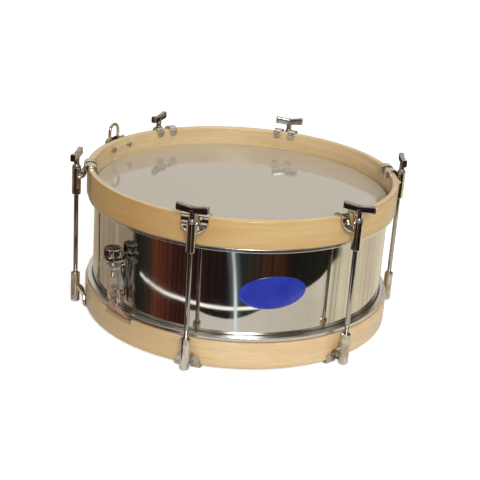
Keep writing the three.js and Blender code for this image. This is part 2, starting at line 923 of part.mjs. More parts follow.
function strapLoopClamp() {
  const raised = loopReach + loopWire / 2 + fit;
  const inner = loopEar - loopClampWall;
  const half = [
    [inner, raised],
    [inner, earBack],
    [loopEar + loopClampEar, earBack],
    [loopEar + loopClampEar, earBack + loopClampWall],
    [loopEar, earBack + loopClampWall],
    [loopEar, raised + loopClampWall / 2],
    [loopEar - loopClampWall / 2, raised + loopClampWall],
  ];
  const outline = [...half, ...half.map(([across, reach]) => [-across, reach]).reverse()];
  const sheet = slab(outlineShape(outline), loopClampHeight, [right, outward, up]);
  sheet.translate(0, 0, loopScrewHeight);
  return cut(sheet, [-1, 1].map((side) => radialPin(
    smallScrewDiameter + 2 * screwHoleGap,
    earBack - overrun,
    earBack + loopClampWall + overrun,
    (side * loopScrewSpacing) / 2,
    loopScrewHeight,
  )));
}

add('strap_loop', strapLoop(), chrome, loopAngle);
add('strap_loop_clamp', strapLoopClamp(), chrome, loopAngle);
[-1, 1].forEach((side, i) => {
  const across = (side * loopScrewSpacing) / 2;
  const nutEdge = loopScrewSpacing / 2 + nutDiameter / 2;
  const inside = Math.sqrt(hoopInside ** 2 - nutEdge ** 2);
  const end = inside - fit - nutHeight - screwEnd;
  const screw = panScrew(earBack + loopClampWall, end, panHeadDiameter, across, loopScrewHeight);
  add(`strap_loop_screw_${i + 1}`, screw, chrome, loopAngle);
  add(`strap_loop_nut_${i + 1}`, nut(inside, across, loopScrewHeight), chrome, loopAngle);
});

export default drum;
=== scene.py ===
from math import atan, atan2, cos, degrees, hypot, pi, radians, sin, sqrt, tau

import bmesh
import bpy
from bmesh import ops
from bmesh.types import BMEdge, BMFace, BMVert
from mathutils import Matrix, Vector


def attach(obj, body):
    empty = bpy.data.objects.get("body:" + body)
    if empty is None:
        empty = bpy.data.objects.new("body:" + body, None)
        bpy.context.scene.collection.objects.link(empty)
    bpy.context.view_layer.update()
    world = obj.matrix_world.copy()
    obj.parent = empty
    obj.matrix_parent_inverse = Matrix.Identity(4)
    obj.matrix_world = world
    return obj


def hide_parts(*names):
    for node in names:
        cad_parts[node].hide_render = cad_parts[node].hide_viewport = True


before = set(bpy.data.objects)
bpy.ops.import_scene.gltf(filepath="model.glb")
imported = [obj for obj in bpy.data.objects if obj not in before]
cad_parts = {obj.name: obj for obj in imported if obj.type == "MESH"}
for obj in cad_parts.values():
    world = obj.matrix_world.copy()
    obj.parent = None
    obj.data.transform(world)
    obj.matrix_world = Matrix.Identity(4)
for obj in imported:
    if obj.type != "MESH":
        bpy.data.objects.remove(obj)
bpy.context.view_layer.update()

# Shell: rolled steel sheet, welded, polished and plated. Both edges are bent in to carry the
# heads, and the lower edge rises at two snare beds, where the strands come in under the film.
# Its wall has holes for the small screws of the strainer and the butt plate.

millimetre = 0.001
middle = 90.7
shell_radius = 177.8
shell_edge = 63.5
shell_wall = 1.2
edge_bend = 4
edge_flange = 7
flange_dip = 3.5
strainer_angle = -57.1
butt_angle = strainer_angle + 180
bed_depth = 5
bed_flat = 11.5
bed_end = 18.5
bed_ramp = 32
clearance = 0.3
small_screw = 1.8
screw_bore = small_screw + clearance
strainer_screws = (57, 91.5)
butt_screws = (77.5, 90.5)
drill_start, drill_end = 170, 196


class Field:
    """A value that changes over a surface. Sums on it add Math nodes."""

    def __init__(self, nodes, socket):
        self.nodes = nodes
        self.socket = socket

    def maths(self, operation, *values):
        return self.nodes.node("Math", values, operation=operation)

    def __add__(self, other):
        return self.maths("ADD", self, other)

    def __sub__(self, other):
        return self.maths("SUBTRACT", self, other)

    def __rsub__(self, other):
        return self.maths("SUBTRACT", other, self)

    def __mul__(self, other):
        return self.maths("MULTIPLY", self, other)

    __radd__ = __add__
    __rmul__ = __mul__

    def size(self):
        return self.maths("ABSOLUTE", self)

    def between(self, low, high, start=0, end=1):
        """Stretches the part from low to high over start to end, and holds it there."""
        values = {"Value": self, "From Min": low, "From Max": high, "To Min": start, "To Max": end}
        return self.nodes.node("MapRange", values, interpolation_type="SMOOTHSTEP")


def set_constant(socket, value):
    """Gives a socket its value. A colour is red, green and blue."""
    socket.default_value = (*value, 1) if socket.type == "RGBA" else value


class Nodes:
    """A node tree, and the one way to add to it."""

    def __init__(self, tree):
        self.tree = tree

    def node(self, kind, values=(), output=0, **settings):
        made = self.tree.nodes.new("ShaderNode" + kind)
        for key, setting in settings.items():
            if key == "stops":
                steps = made.color_ramp.elements
                for i, (place, tone) in enumerate(setting):
                    step = steps[i] if i < 2 else steps.new(place)
                    step.position, step.color = place, (*tone, 1)
            elif key == "between_stops":
                made.color_ramp.interpolation = setting
            else:
                setattr(made, key, setting)
        for key, value in values.items() if isinstance(values, dict) else enumerate(values):
            if isinstance(value, Field):
                self.tree.links.new(value.socket, made.inputs[key])
            else:
                set_constant(made.inputs[key], value)
        return Field(self, made.outputs[output])

    def place(self):
        """The place on the piece, in metres."""
        return self.node("TexCoord", output="Object")

    def stretched(self, scale):
        """The place on the piece times a scale, or one for each axis."""
        scale = scale if isinstance(scale, tuple) else (scale, scale, scale)
        return self.node("Mapping", {"Vector": self.place(), "Scale": scale})

    def along(self, axis, place=None):
        return self.node("SeparateXYZ", [place or self.place()], axis)

    def from_axis(self):
        """The distance from the drum's axis, in metres."""
        return self.vector("LENGTH", self.stretched((1, 1, 0)))

    def grain(self, scale, detail=3, roughness=0.5, place=None):
        """Noise from 0 to 1 whose size along each axis is one over its scale, in metres."""
        values = {"Vector": place or self.stretched(scale), "Scale": 1, "Detail": detail,
            "Roughness": roughness}
        return self.node("TexNoise", values)

    def vector(self, operation, *values):
        """Vector maths. A length and a dot product come out as one value."""
        output = "Value" if operation in ("LENGTH", "DOT_PRODUCT") else 0
        return self.node("VectorMath", values, output, operation=operation)

    def mix(self, share, first, second):
        return self.node("Mix", {0: share, 6: first, 7: second}, 2, data_type="RGBA")


class Finish(Nodes):
    """A surface finish: its shader's constants, and the nodes that vary its sockets."""

    def __init__(self, name, constants):
        self.material = bpy.data.materials.new(name)
        self.material.use_nodes = True
        super().__init__(self.material.node_tree)
        self.shader = self.tree.nodes["Principled BSDF"]
        for socket, value in constants.items():
            set_constant(self.shader.inputs[socket], value)

    def relief(self, height, depth):
        """Bump of a depth in metres where the height goes from 0 to 1."""
        self.feed("Normal", self.node("Bump", {"Strength": 1.0, "Distance": depth, "Height": height}))

    def feed(self, socket, field):
        self.tree.links.new(field.socket, self.shader.inputs[socket])

    def tint(self, share, first, second):
        """Base colour from one colour to another."""
        self.feed("Base Color", self.mix(share, first, second))


def arc(centre, radius, start, end, steps):
    """Points of a round corner, from one angle to another."""
    turns = [radians(start + (end - start) * i / steps) for i in range(steps + 1)]
    return [(centre[0] + radius * cos(t), centre[1] + radius * sin(t)) for t in turns]


def turned(outline, steps):
    """Spins an outline of (radius, height) points round the upright axis."""
    form = bmesh.new()
    points = [form.verts.new((0, -radius, height)) for radius, height in outline]
    pairs = list(zip(points, points[1:]))
    if outline[0][0] > 0:
        pairs.append((points[-1], points[0]))
    edges = [form.edges.new(pair) for pair in pairs]
    ops.spin(form, geom=points + edges, axis=(0, 0, 1), cent=(0, 0, 0), angle=tau, steps=steps,
        use_merge=True)
    ops.remove_doubles(form, verts=form.verts, dist=0.001)
    return form


def pin(radius, low, high, steps=24):
    return turned([(0, low), (radius, low), (radius, high), (0, high)], steps)


def laid(form, place):
    """Moves a whole form."""
    ops.transform(form, matrix=place, verts=form.verts)
    return form


def moved(form, x, y, z):
    return laid(form, Matrix.Translation((x, y, z)))


def turning(angle, axis="Z"):
    return Matrix.Rotation(radians(angle), 4, axis)


def rotated(form, angle, axis="Z"):
    return laid(form, turning(angle, axis))


def finished(name, form, finish, angle=0, lift=0, sharp=30):
    """Sets a form round the drum, marks its sharp edges and makes it a piece in metres."""
    laid(form, Matrix.Scale(millimetre, 4) @ (turning(angle) @ Matrix.Translation((0, 0, lift))))
    ops.recalc_face_normals(form, faces=form.faces)
    for face in form.faces:
        face.smooth = True
    for edge in form.edges:
        edge.smooth = len(edge.link_faces) == 2 and edge.calc_face_angle() < radians(sharp)
    mesh = mesh_of(form, name)
    form.free()
    mesh.materials.append(finish.material)
    return linked(name, mesh)


def linked(name, data):
    """Puts new data in the scene as an object."""
    thing = bpy.data.objects.new(name, data)
    bpy.context.scene.collection.objects.link(thing)
    return thing


def fitted(piece, node, body="drum"):
    """Makes a piece stand for a node and ride on its body."""
    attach(piece, body)
    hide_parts(node)


def raise_beds(form):
    """Lifts the lower edge, and the film under it, where the strands come in."""
    for vert in form.verts:
        x, y, z = vert.co
        if z < edge_bend + shell_wall - shell_edge:
            round_drum = degrees(atan2(x, -y))
            away = min(abs((round_drum - bed + 540) % 360 - 180) for bed in (strainer_angle, butt_angle))
            share = min(max((bed_end - away) / (bed_end - bed_flat), 0), 1)
            ramp = min(max((hypot(x, y) - shell_radius + edge_bend + bed_ramp) / bed_ramp, 0), 1)
            vert.co.z += bed_depth * ramp * share * share * (3 - 2 * share)


def mesh_of(form, name="part"):
    mesh = bpy.data.meshes.new(name)
    form.to_mesh(mesh)
    return mesh


def worked(form, *steps):
    """Applies modifiers to a form. Each step is a modifier's type and its settings."""
    blank = linked("blank", mesh_of(form))
    for kind, settings in steps:
        step = blank.modifiers.new(kind, kind)
        for key, value in settings.items():
            setattr(step, key, value)
    ready = blank.evaluated_get(bpy.context.evaluated_depsgraph_get())
    form.clear()
    form.from_mesh(ready.to_mesh())
    ready.to_mesh_clear()
    bpy.data.meshes.remove(blank.data)
    return form


def carved(form, cutter):
    """Cuts one closed form out of another."""
    for solid in (cutter, form):
        ops.recalc_face_normals(solid, faces=solid.faces)
    tool = linked("cutter", mesh_of(cutter))
    worked(form, ("BOOLEAN", {"object": tool, "operation": "DIFFERENCE", "solver": "EXACT"}))
    bpy.data.meshes.remove(tool.data)
    cutter.free()
    return form


def drilled(form, angle, height, across=0):
    """Drills a hole for a small screw through a wall, at a height above the ground."""
    place = turning(angle) @ Matrix.Translation((across, 0, height - middle)) @ turning(90, "X")
    carved(form, laid(pin(screw_bore, drill_start, drill_end), place))


bend_radius = shell_radius - edge_bend
bend = (bend_radius, shell_edge - edge_bend)
edge = [*arc(bend, edge_bend, 0, 90, 8), (bend_radius - edge_flange, shell_edge - flange_dip),
    (bend_radius - edge_flange, shell_edge - flange_dip - shell_wall),
    *arc(bend, edge_bend - shell_wall, 90, 0, 6)]
form = turned(edge + [(radius, -height) for radius, height in reversed(edge)], 360)
raise_beds(form)
for height in strainer_screws:
    drilled(form, strainer_angle, height)
for height in butt_screws:
    drilled(form, butt_angle, height)

steel = Finish("polished_steel", {"Metallic": 1.0})
rolled = steel.grain((26, 26, 1.4), 2)
rubbed = steel.grain((900, 900, 60), 3, 0.7)
cloud = steel.grain(14, 3)
steel.feed("Roughness", 0.025 + 0.05 * cloud.between(0.4, 0.75) + 0.03 * rubbed)
steel.tint(cloud.between(0.35, 0.8), (0.62, 0.605, 0.565), (0.54, 0.52, 0.47))
steel.relief(rolled + 0.012 * rubbed, 0.00022)

fitted(finished("steel_shell", form, steel, lift=middle), "shell")

# Heads: hazy plastic film, drawn over the shell's edge and down into the flesh hoop, which holds its rim. The
# lower film follows the snare beds. Both are smooth and a little cloudy, with painted shade where the film
# turns down into the gap beside the wood.

film = 0.5
head_reach = shell_radius + clearance
hoop_near = 55.2
flesh_near = hoop_near - clearance
flesh_height = 5
flesh_far = flesh_near - flesh_height
gap_shade_from, gap_shade_to = 0.1772, 0.1784


def head_outline(radii):
    under = arc(bend, edge_bend + clearance, 90, 0, 8)
    over = arc(bend, edge_bend + clearance + film, 0, 90, 8)
    return [(0, under[0][1]), *[(radius, under[0][1]) for radius in radii], *under,
        (head_reach, flesh_far + clearance), (head_reach + film, flesh_far + clearance), *over,
        *[(radius, over[-1][1]) for radius in reversed(radii)], (0, over[-1][1])]


hazy = Finish("hazy_film", {"IOR": 1.58, "Coat Weight": 0.5, "Coat Roughness": 0.02})
haze = hazy.grain(9, 4, 0.6)
speck = hazy.grain(700, 2)
tone = hazy.mix(haze.between(0.3, 0.7), (0.535, 0.48, 0.395), (0.505, 0.455, 0.375))
# Painted shade: the film's colour goes dark brown in the narrow ring where it turns down beside the wooden
# hoop.
hazy.tint(hazy.from_axis().between(gap_shade_from, gap_shade_to), tone, (0.16, 0.115, 0.075))
hazy.feed("Roughness", 0.04 + 0.05 * haze + 0.03 * speck)
hazy.relief(haze + 0.05 * speck, 0.0002)

ramp_radii = [bend_radius - bed_ramp * i / 4 for i in (4, 3, 2, 1)]
for name, node, radii in (("playing_film", "top_head", []), ("snare_film", "bottom_head", ramp_radii)):
    form = turned(head_outline(radii), 360)
    if radii:
        rotated(form, 180, "Y")
        raise_beds(form)
    fitted(finished(name, form, hazy, lift=middle), node)

# Flesh hoops: bright aluminium rings, drawn as a strip and welded, that the film's rim is locked
# into. The wooden hoops press on them.

hoop_inner = head_reach + film + clearance
flesh_wall = 6.4
flesh_outer = hoop_inner + flesh_wall
flesh_corner = 1.3
flesh_chamfer = 0.4

aluminium = Finish("bright_aluminium", {"Metallic": 1.0})
drawn = aluminium.grain((12, 12, 2200), 2, 0.6)
dull = aluminium.grain((18, 18, 400), 3)
aluminium.tint(dull, (0.74, 0.735, 0.72), (0.60, 0.595, 0.58))
aluminium.feed("Roughness", 0.16 + 0.1 * dull + 0.08 * drawn)
aluminium.relief(drawn, 0.000004)

low, high = flesh_far + flesh_corner, flesh_near - flesh_corner
side = flesh_outer - flesh_corner
outline = [(hoop_inner, flesh_far + flesh_chamfer), (hoop_inner + flesh_chamfer, flesh_far),
    *arc((side, low), flesh_corner, -90, 0, 5), *arc((side, high), flesh_corner, 0, 90, 5),
    (hoop_inner + flesh_chamfer, flesh_near), (hoop_inner, flesh_near - flesh_chamfer)]
for which, turn in (("top", 0), ("bottom", 180)):
    ring = finished(f"{which}_flesh_ring", rotated(turned(outline, 320), turn, "Y"), aluminium, lift=middle)
    fitted(ring, f"{which}_flesh_hoop")

# Wooden hoops: ash strips, steamed round, lapped and glued, rounded at the free edge and
# varnished. The lower one has a gate for the strands at each snare bed, cut with a router. The
# upper one is drilled for the strap loop.

hoop_wall = 8
hoop_outer = hoop_inner + hoop_wall
hoop_edge = 87.4
hoop_round = 2.6
inner_chamfer, outer_chamfer = 0.5, 0.7
gate_width = 54
gate_depth = 6.5
gate_corner = 2
router_start, router_end, router_overrun = 174, 190, 5
loop_angle = -127.9
loop_screw_height = 169.1
loop_screws = (-17, 17)


def only(kind, parts):
    return [part for part in parts if isinstance(part, kind)]


def pushed_on(form, faces, way):
    """Pushes faces further, and returns the new ones."""
    pushed = ops.extrude_face_region(form, geom=faces)["geom"]
    ops.translate(form, vec=way, verts=only(BMVert, pushed))
    return only(BMFace, pushed)


def prism(points, way):
    """Solid between an outline and its copy further on."""
    form = bmesh.new()
    pushed_on(form, [form.faces.new([form.verts.new(point) for point in points])], way)
    return form


def rounded_plate(width, low, high, corner, near, far):
    """Plate that faces outward, with round corners, between two reaches from the axis."""
    side = width / 2 - corner
    outline = [*arc((side, low + corner), corner, -90, 0, 4), *arc((side, high - corner), corner, 0, 90, 4),
        *arc((-side, high - corner), corner, 90, 180, 4), *arc((-side, low + corner), corner, 180, 270, 4)]
    return prism([(x, -near, z) for x, z in outline], (0, near - far, 0))


wood = Finish("varnished_wood", {"Coat Weight": 0.55, "Coat Roughness": 0.08, "IOR": 1.45})
leftward = 0 - wood.along("X")
reach = wood.from_axis()
height = wood.along("Z")
layer = height + 0.8 * reach


def wood_streaks(length_scale, across_scale, detail):
    along = wood.stretched((length_scale, length_scale, 0))
    across = wood.node("CombineXYZ", {"Z": across_scale * layer})
    place = wood.vector("ADD", along, across)
    return wood.grain(None, detail, 0.6, place)


broad = wood_streaks(5, 70, 3)
fine = wood_streaks(22, 1100, 4)
pores = wood_streaks(60, 2600, 2).between(0.56, 0.72)
warm = wood.grain((3.1, 3.1, 6), 2)
tone = wood.mix(broad.between(0.36, 0.64), (0.79, 0.60, 0.32), (0.66, 0.44, 0.18))
tone = wood.mix(0.5 * warm.between(0.42, 0.66), tone, (0.68, 0.38, 0.15))
outside = reach.between(0.185, 0.1865)
# Painted shade: on its outside, the upper hoop is darkened, and both hoops darken towards the left, as if
# less lit.
painted_shade_upper_and_left = outside * (0.4 * height.between(0.08, 0.1) + 0.5 * leftward.between(0.0, 0.18))
tone = wood.mix(0.35 * (1 - outside), tone, (0.78, 0.66, 0.45))
# Painted light: the outside of the lower hoop is made paler, as though lit more by the bright floor.
tone = wood.mix(0.3 * outside * height.between(0.04, 0.06, 1, 0), tone, (0.84, 0.73, 0.53))
# The painted shade darkens the wood here.
tone = wood.mix(painted_shade_upper_and_left, tone, (0.40, 0.22, 0.06))
tone = wood.mix(0.55 * fine.between(0.45, 0.72), tone, (0.55, 0.34, 0.13))
wood.tint(0.4 * pores, tone, (0.40, 0.23, 0.085))
wood.feed("Roughness", 0.3 + 0.15 * fine)
wood.relief(1 - 0.6 * fine - 0.4 * pores, 0.00006)

top = hoop_edge - hoop_round
outline = [(hoop_inner, hoop_near + inner_chamfer), (hoop_inner + inner_chamfer, hoop_near),
    (hoop_outer - outer_chamfer, hoop_near), (hoop_outer, hoop_near + outer_chamfer),
    *arc((hoop_outer - hoop_round, top), hoop_round, 0, 90, 6),
    *arc((hoop_inner + hoop_round, top), hoop_round, 90, 180, 6)]
for which, turn in (("top", 0), ("bottom", 180)):
    form = rotated(turned(outline, 320), turn, "Y")
    if which == "bottom":
        for gate in (strainer_angle, butt_angle):
            router = rounded_plate(gate_width, -hoop_near - gate_depth, router_overrun - hoop_near,
                gate_corner, router_start, router_end)
            carved(form, rotated(router, gate))
    else:
        for across in loop_screws:
            drilled(form, loop_angle, loop_screw_height, across)
    hoop = finished(f"{which}_hoop_of_wood", form, wood, lift=middle)
    fitted(hoop, f"{which}_wooden_hoop")

# Claws: cast, polished and plated hooks. Two wings leave the tube for the rod, spread to the
# hoop's face and end in fingers over its edge. The lower claws are turned over, and their wings
# reach further and run straighter.

rod_circle = 199.1
rod_angles = [-30 + 60 * i + drift for i, drift in enumerate((4.7, -1, 0.1, 2.2, -4.6, -1.4))]
claw_wall = 3
claw_bevel = 1.3
wing_span = 33
wing_slot = 6.4
finger_width = 9.5
finger_reach = 8.6
hoop_behind_finger = 178.52
tube_radius = 5.4
tube_bore = 3.1
tube_reach = 37.3
tube_chamfer = 1.2
bore_chamfer = 0.3
mouth_chamfer = 0.4
upper_tube_drop = 3.4

finger_spread = (wing_span + wing_slot) / 4
wing_half = (wing_span - wing_slot) / 4

# Stations of a wing from the tube to the hoop: share of the way out, share of the wing's drop, and
# the strip's two edges in shares of half its width. Then how far it has narrowed over the edge.
wing_line = ((0.94, 1, -1.42, -0.86), (0.8, 0.93, -1.38, -0.35), (0.6, 0.82, -1.25, 0.15),
    (0.36, 0.7, -1.12, 0.52), (0.14, 0.56, -1.05, 0.72), (0.02, 0.4, -1.02, 0.79), (0, 0.24, -1, 0.8))
narrowing = (0.1, 0.2, 0.32, 0.45, 0.6, 0.72, 0.84, 0.93, 1, 1)
finger_end = ((1, 1), (0.45, 0.86), (0.08, 0.4))


def softened(form, width=0.25, angle=50, segments=2):
    """Breaks the sharp edges of a form."""
    return worked(form, ("BEVEL", {"width": width, "segments": segments, "limit_method": "ANGLE",
        "angle_limit": radians(angle)}))


def wing(side, wing_drop, taper):
    """One wing and its finger: a strip drawn along its stations, thickened and rounded."""
    face = hoop_outer + clearance + claw_wall / 2
    inside = hoop_behind_finger - clearance - claw_wall / 2
    over = hoop_edge + clearance + claw_wall / 2
    corner = hoop_round + claw_wall / 2
    tip = hoop_edge - finger_reach
    half = finger_width / 2
    root, full = wing_line[0][3], wing_line[-1][3]
    full_drop = wing_line[-1][1]
    stations = []
    for share, drop, near, far in wing_line:
        straight = full - (full - root) * (drop - full_drop) / (1 - full_drop)
        stations.append((face + share * (rod_circle - face), hoop_edge - wing_drop * drop, wing_half * near,
            wing_half * (far - taper * (far - straight))))
    round_edge = [*arc((face - corner, over - corner), corner, 0, 90, 4),
        *arc((inside + corner, over - corner), corner, 90, 180, 4)]
    for (radius, height), share in zip(round_edge, narrowing):
        stations.append((radius, height, -wing_half + share * (wing_half - half),
            full * wing_half + share * (half - full * wing_half)))
    for rise, width in finger_end:
        stations.append((inside, tip + rise * half, -width * half, width * half))
    form = bmesh.new()
    across = 6
    row = [form.verts.new((0, 0, 0)) for i in range(across + 1)]
    edges = [form.edges.new(pair) for pair in zip(row, row[1:])]
    for count, (radius, height, near, far) in enumerate(stations):
        if count:
            drawn = ops.extrude_edge_only(form, edges=edges)["geom"]
            edges = only(BMEdge, drawn)
            row = sorted(only(BMVert, drawn), key=lambda v: v.co.x)
        for i, vert in enumerate(row):
            vert.co = (near + (far - near) * i / across, -radius, height)
    worked(form, ("SUBSURF", {"levels": 1, "render_levels": 1}),
        ("SOLIDIFY", {"thickness": claw_wall, "offset": 0, "use_even_offset": True}))
    softened(form, claw_bevel, segments=4)
    moved(form, finger_spread, 0, 0)
    ops.scale(form, vec=(side, 1, 1), verts=form.verts)
    return form


def gathered(*forms):
    """Puts several closed forms in one."""
    whole = bmesh.new()
    for form in forms:
        mesh = mesh_of(form)
        whole.from_mesh(mesh)
        bpy.data.meshes.remove(mesh)
        form.free()
    return whole


def claw(tube_drop, wing_drop, taper):
    far, near = hoop_edge - tube_reach, hoop_edge - tube_drop
    barrel = turned([(tube_bore, far + bore_chamfer), (tube_bore + bore_chamfer, far),
        (tube_radius - tube_chamfer, far), (tube_radius, far + tube_chamfer),
        (tube_radius, near - mouth_chamfer), (tube_radius - mouth_chamfer, near),
        (tube_bore + bore_chamfer, near), (tube_bore, near - bore_chamfer)], 40)
    wings = [carved(wing(side, wing_drop, taper), moved(pin(tube_bore, far, near, 40), 0, -rod_circle, 0))
        for side in (1, -1)]
    return gathered(moved(barrel, 0, -rod_circle, 0), *wings)


chrome = Finish("chrome_plate", {"Metallic": 1.0})
patches_and_painted_reflection = chrome.grain(120, 4)
scratched = chrome.grain((500, 500, 2600), 3)
# Painted reflection: the tint goes dark brown in patches, standing in for a dark, warm room mirrored in the
# plate. The same noise also varies the roughness and bumps.
chrome.tint(patches_and_painted_reflection.between(0.4, 0.7), (0.70, 0.665, 0.60), (0.46, 0.40, 0.32))
chrome.feed("Roughness", 0.05 + 0.1 * patches_and_painted_reflection.between(0.45, 0.75) + 0.04 * scratched)
chrome.relief(patches_and_painted_reflection + 0.1 * scratched, 0.00006)

for number, angle in enumerate(rod_angles, 1):
    for which, tube_drop, wing_drop, taper, turn in (("upper", upper_tube_drop, 17, 0, 0),
            ("lower", 0, 21, 0.75, 180)):
        form = rotated(claw(tube_drop, wing_drop, taper), turn, "Y")
        hook = finished(f"{which}_hook_{number}", form, chrome, angle, middle)
        fitted(hook, f"{which}_claw_{number}")

# Tension rods: drawn steel with a rolled thread at the lower end, where they screw into the lower
# claws, and a plate of dark nickel.

rod_radius = 2.75
rod_inset, rod_in_handle = 2, 2.9
rod_low = rod_inset - hoop_edge
rod_point = 0.7
rod_chamfer = 0.3
collar_base = hoop_edge - upper_tube_drop + clearance
rod_high = collar_base + rod_in_handle
thread_high = -38
thread_pitch = 1.0
thread_depth = 0.34


def pressed(form, share):
    """Scales each point's distance from the axis by a share that depends on its place."""
    for vert in form.verts:
        x, y, z = vert.co
        part = share(hypot(x, y), atan2(y, x), z)
        vert.co.x, vert.co.y = x * part, y * part
    return form


def thread(form, low, high, radius, pitch, depth):
    """Presses a screw thread into the rows of a turned rod between two heights."""
    skin = radius - 0.01

    def share(reach, turn, z):
        if reach <= skin or not low <= z <= high:
            return 1
        ridge = abs(2 * ((z / pitch - turn / tau) % 1) - 1)
        fade = min(1, (z - low) / pitch, (high - z) / (3 * pitch))
        return 1 - depth * fade * ridge / radius

    pressed(form, share)


def rows(low, high, step):
    count = max(1, round((high - low) / step))
    return [low + (high - low) * i / count for i in range(count + 1)]


dark = Finish("dark_plate", {"Metallic": 1.0})
smoke = dark.grain((160, 160, 50), 4)
dark.tint(smoke.between(0.35, 0.75), (0.47, 0.455, 0.43), (0.31, 0.28, 0.25))
dark.feed("Roughness", 0.06 + 0.12 * smoke)
dark.relief(smoke, 0.00004)

for number, angle in enumerate(rod_angles, 1):
    thread_low = rod_low + rod_point
    form = turned([(0, rod_low), (rod_radius - rod_point, rod_low),
        *[(rod_radius, z) for z in rows(thread_low, thread_high, thread_pitch / 6)],
        (rod_radius, rod_high - rod_chamfer), (rod_radius - rod_chamfer, rod_high), (0, rod_high)], 24)
    thread(form, thread_low, thread_high, rod_radius, thread_pitch, thread_depth)
    moved(form, 0, -rod_circle, 0)
    rod = finished(f"threaded_rod_{number}", form, dark, angle, middle)
    fitted(rod, f"tension_rod_{number}", f"rod_{number}")

# T-handles: a bar with raised ends, riveted on a neck whose collar bears on the claw's tube. They
# are forged and have the rods' plate.

handle_length = 36
handle_lift = 10.2
bar_height, tip_height = 7.7, 9
bar_thickness, tip_thickness = 5.4, 6.4
tip_lift = 2
end_share, end_trim = 0.05, 0.12
corner_power = 6
collar_radius = 4.9
collar_height = 1.8
collar_low_round, collar_high_round = 0.3, 0.4
socket_depth = 3.2
socket_chamfer = 0.2
neck_radius = 3.3
neck_flare = 0.9
neck_rise = 2.2
core_radius = 1.5
rivet_radius = 2.1
rivet_low, rivet_high = 3.4, 4.7
rivet_round = 0.5
rivet_crown = 0.1
handle_turns = (5, 60, 11, -14, -34, 15)
handle_steps = 34


def handle():
    bar_middle = hoop_edge + handle_lift
    socket = rod_radius + clearance
    collar_top = collar_base + collar_height
    stem = turned([(0, collar_base + socket_depth), (socket, collar_base + socket_depth),
        (socket, collar_base + socket_chamfer), (socket + socket_chamfer, collar_base),
        (collar_radius - collar_low_round, collar_base), (collar_radius, collar_base + collar_low_round),
        (collar_radius, collar_top - collar_high_round), (collar_radius - collar_high_round, collar_top),
        *[(neck_radius + neck_flare * (1 - s) ** 2, collar_top + neck_rise * s)
        for s in (0.1, 0.35, 0.65, 1)], (neck_radius, bar_middle), (core_radius, bar_middle),
        (core_radius, bar_middle + rivet_low), (rivet_radius, bar_middle + rivet_low),
        (rivet_radius, bar_middle + rivet_high - rivet_crown - rivet_round),
        (rivet_radius - rivet_round, bar_middle + rivet_high - rivet_crown), (0, bar_middle + rivet_high)],
        32)
    bar = bmesh.new()
    ring = ops.create_circle(bar, cap_ends=True, segments=32, radius=1, matrix=turning(90, "Y"))["verts"]
    spokes = {vert: vert.co.copy() for vert in ring}
    faces = list(bar.faces)
    for count in range(handle_steps + 1):
        along = 2 * count / handle_steps - 1
        lift = abs(along)
        swell = 1 - end_trim * max(0, (lift - 1 + end_share) / end_share) ** 2
        thickness = bar_thickness + (tip_thickness - bar_thickness) * lift
        height = bar_height + (tip_height - bar_height) * lift
        if count:
            pushed = ops.extrude_face_region(bar, geom=faces)["geom"]
            if count > 1:
                ops.delete(bar, geom=faces, context="FACES_ONLY")
            faces = only(BMFace, pushed)
            old = list(spokes)
            spokes = {v: spokes[min(old, key=lambda o: (o.co - v.co).length)] for v in only(BMVert, pushed)}
        for vert, spoke in spokes.items():
            square = (abs(spoke.y) ** corner_power + abs(spoke.z) ** corner_power) ** (-1 / corner_power)
            vert.co = (along * handle_length / 2, spoke.y * square * swell * thickness / 2,
                bar_middle + tip_lift * lift + spoke.z * square * swell * height / 2)
    return gathered(stem, bar)


for number, (angle, turn) in enumerate(zip(rod_angles, handle_turns), 1):
    form = laid(handle(), Matrix.Translation((0, -rod_circle, 0)) @ turning(-turn))
    tee = finished(f"tee_bar_{number}", form, dark, angle, middle, 45)
    fitted(tee, f"t_handle_{number}", f"rod_{number}")

# Snare strainer: a bent steel bracket, screwed to the shell. The knob over its ear turns a screw,
# which draws the zinc-plated carriage and the strands' ends up and down.

bracket_width = 20
bracket_low = 48
sheet = 1.5
sheet_bend = 2
bracket_back = shell_radius + clearance
bracket_face = bracket_back + sheet
ear_reach = 201.1
ear_high = 103.5
ear_bore = 2.6
screw_reach = 191.5
drill_low, drill_high = 90, 110
drill_half = 4

knob_radius = 10.5
knob_low = 103.8
knob_high = 115.8
knob_socket, knob_socket_high = 2.3, 112.2
knob_boss = 5.5
boss_height = 1.4
knob_chamfer = 1
knob_round = 1.2
knob_rows = (109, 112)
dish_radius, dish_slope, dish_depth = 7.2, 0.6, 0.5
knob_flutes = 30
flute_depth = 0.3
flute_band = 1.1

spindle_radius = 2
spindle_low, spindle_high = 80, 111.9
spindle_chamfer = 0.4
spindle_thread_high = 99.2
spindle_pitch = 1
thread_cut = 0.35
spindle_collar = 2.7
collar_low, collar_high = 100.1, 101.7

carriage_width = 18
carriage_low, carriage_high = 50, 97.5
tongue_face = 188.4
tongue_back = tongue_face - sheet
tab_reach = 198
tab_low, tab_high = 92, 95
tab_bore = 2.3
tab_drill_high = 97
guide_reach = 180.2
guide_low, guide_high = 68, 88
guide_across = 8.25
guide_overlap = 0.02

clamp_back = 190.4
clamp_face = clamp_back + sheet
clamp_height = 57
clamp_low, clamp_high = 50, 66
clamp_corner = 1.5

screw_head = 2.2
head_rim = 0.9
head_round = 0.25
small_head, clamp_head = 3.6, 4
recess_half = 0.45
recess_share = 0.52
recess_floor = 1.1
shank_point = 0.4
shank_neck = 0.8
shank_pitch = 0.7
shank_cut = 0.25
nut_corner = 3.7
nut_height = 2.6
nut_bore = small_screw + 0.1
nut_bore_chamfer, nut_chamfer = 0.3, 0.4
wall_bolt, wall_nut = 7.58, 173.32
clamp_bolt, clamp_nut = 8.7, 184


